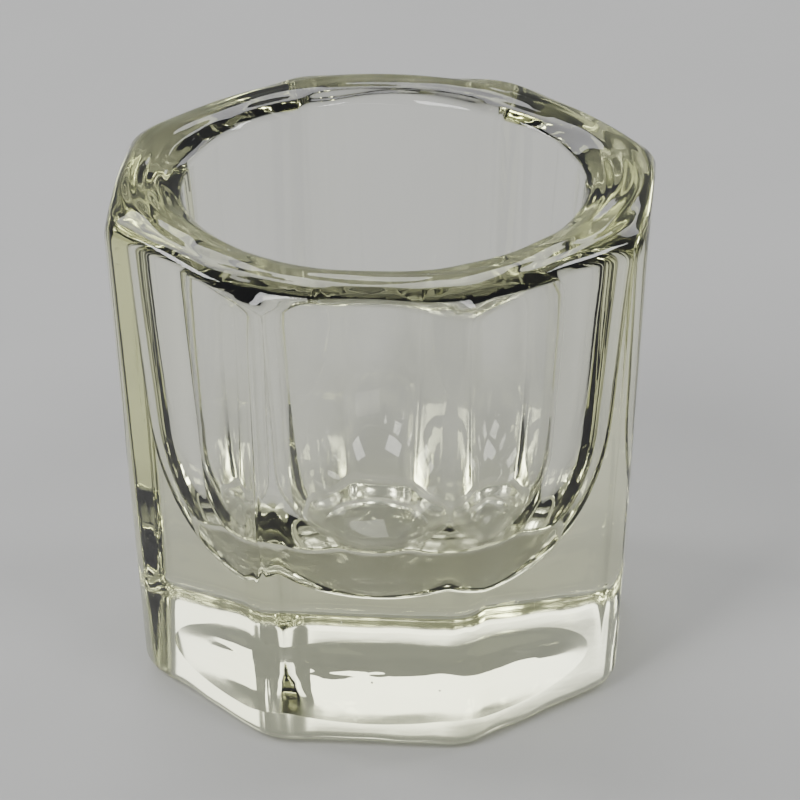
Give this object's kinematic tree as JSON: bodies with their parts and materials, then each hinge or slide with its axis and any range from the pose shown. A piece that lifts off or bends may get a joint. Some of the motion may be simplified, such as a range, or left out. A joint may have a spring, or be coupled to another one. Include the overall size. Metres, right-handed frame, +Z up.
{
  "type": "glass dappen dish",
  "caption": "Small octagonal clear glass dappen dish with a deep round well, which holds liquid or powder for acrylic nail work.",
  "frame": {"origin": "on the table, under the middle of the foot", "axes": "+Z up out of the well's mouth; the eight facets look along X, Y and the diagonals between them"},
  "size_m": [0.0294, 0.0294, 0.0284],
  "materials": {
    "clear_glass": "polished, faint yellow-green tint where thick"
  },
  "bodies": {
    "root": {"glass_dish": "clear_glass"}
  },
  "joints": []
}
